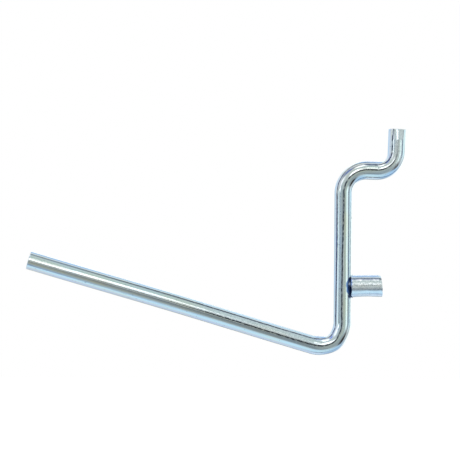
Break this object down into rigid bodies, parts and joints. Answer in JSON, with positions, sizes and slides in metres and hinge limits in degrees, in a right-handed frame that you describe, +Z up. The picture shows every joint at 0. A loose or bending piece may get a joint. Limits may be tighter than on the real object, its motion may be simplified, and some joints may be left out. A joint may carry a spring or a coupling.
{
  "type": "pegboard hook",
  "caption": "Round-rod hook for a perforated tool panel: a rising arm and an upright, with an up-turned stub and a short welded peg on its back that seat in the panel's holes.",
  "frame": {"origin": "middle of the panel's upper hole, on the panel's front face, which the back of the upright lies against", "axes": "+Z up along the upright, +Y into the panel along the peg, X across the rod; the arm points to -Y and all bends lie in the plane x = 0"},
  "size_m": [0.0048, 0.0831, 0.0497],
  "materials": {
    "plated_rod": "bright blue-white zinc plate on drawn steel rod, glossy, with fine drawing lines",
    "plated_peg": "bright zinc plate, mottled and a little duller",
    "weld_metal": "thinly plated weld metal, dull and dark"
  },
  "bodies": {
    "root": {"hook_rod": "plated_rod", "panel_peg": "plated_peg", "upper_weld_bead": "weld_metal", "lower_weld_bead": "weld_metal"}
  },
  "joints": []
}
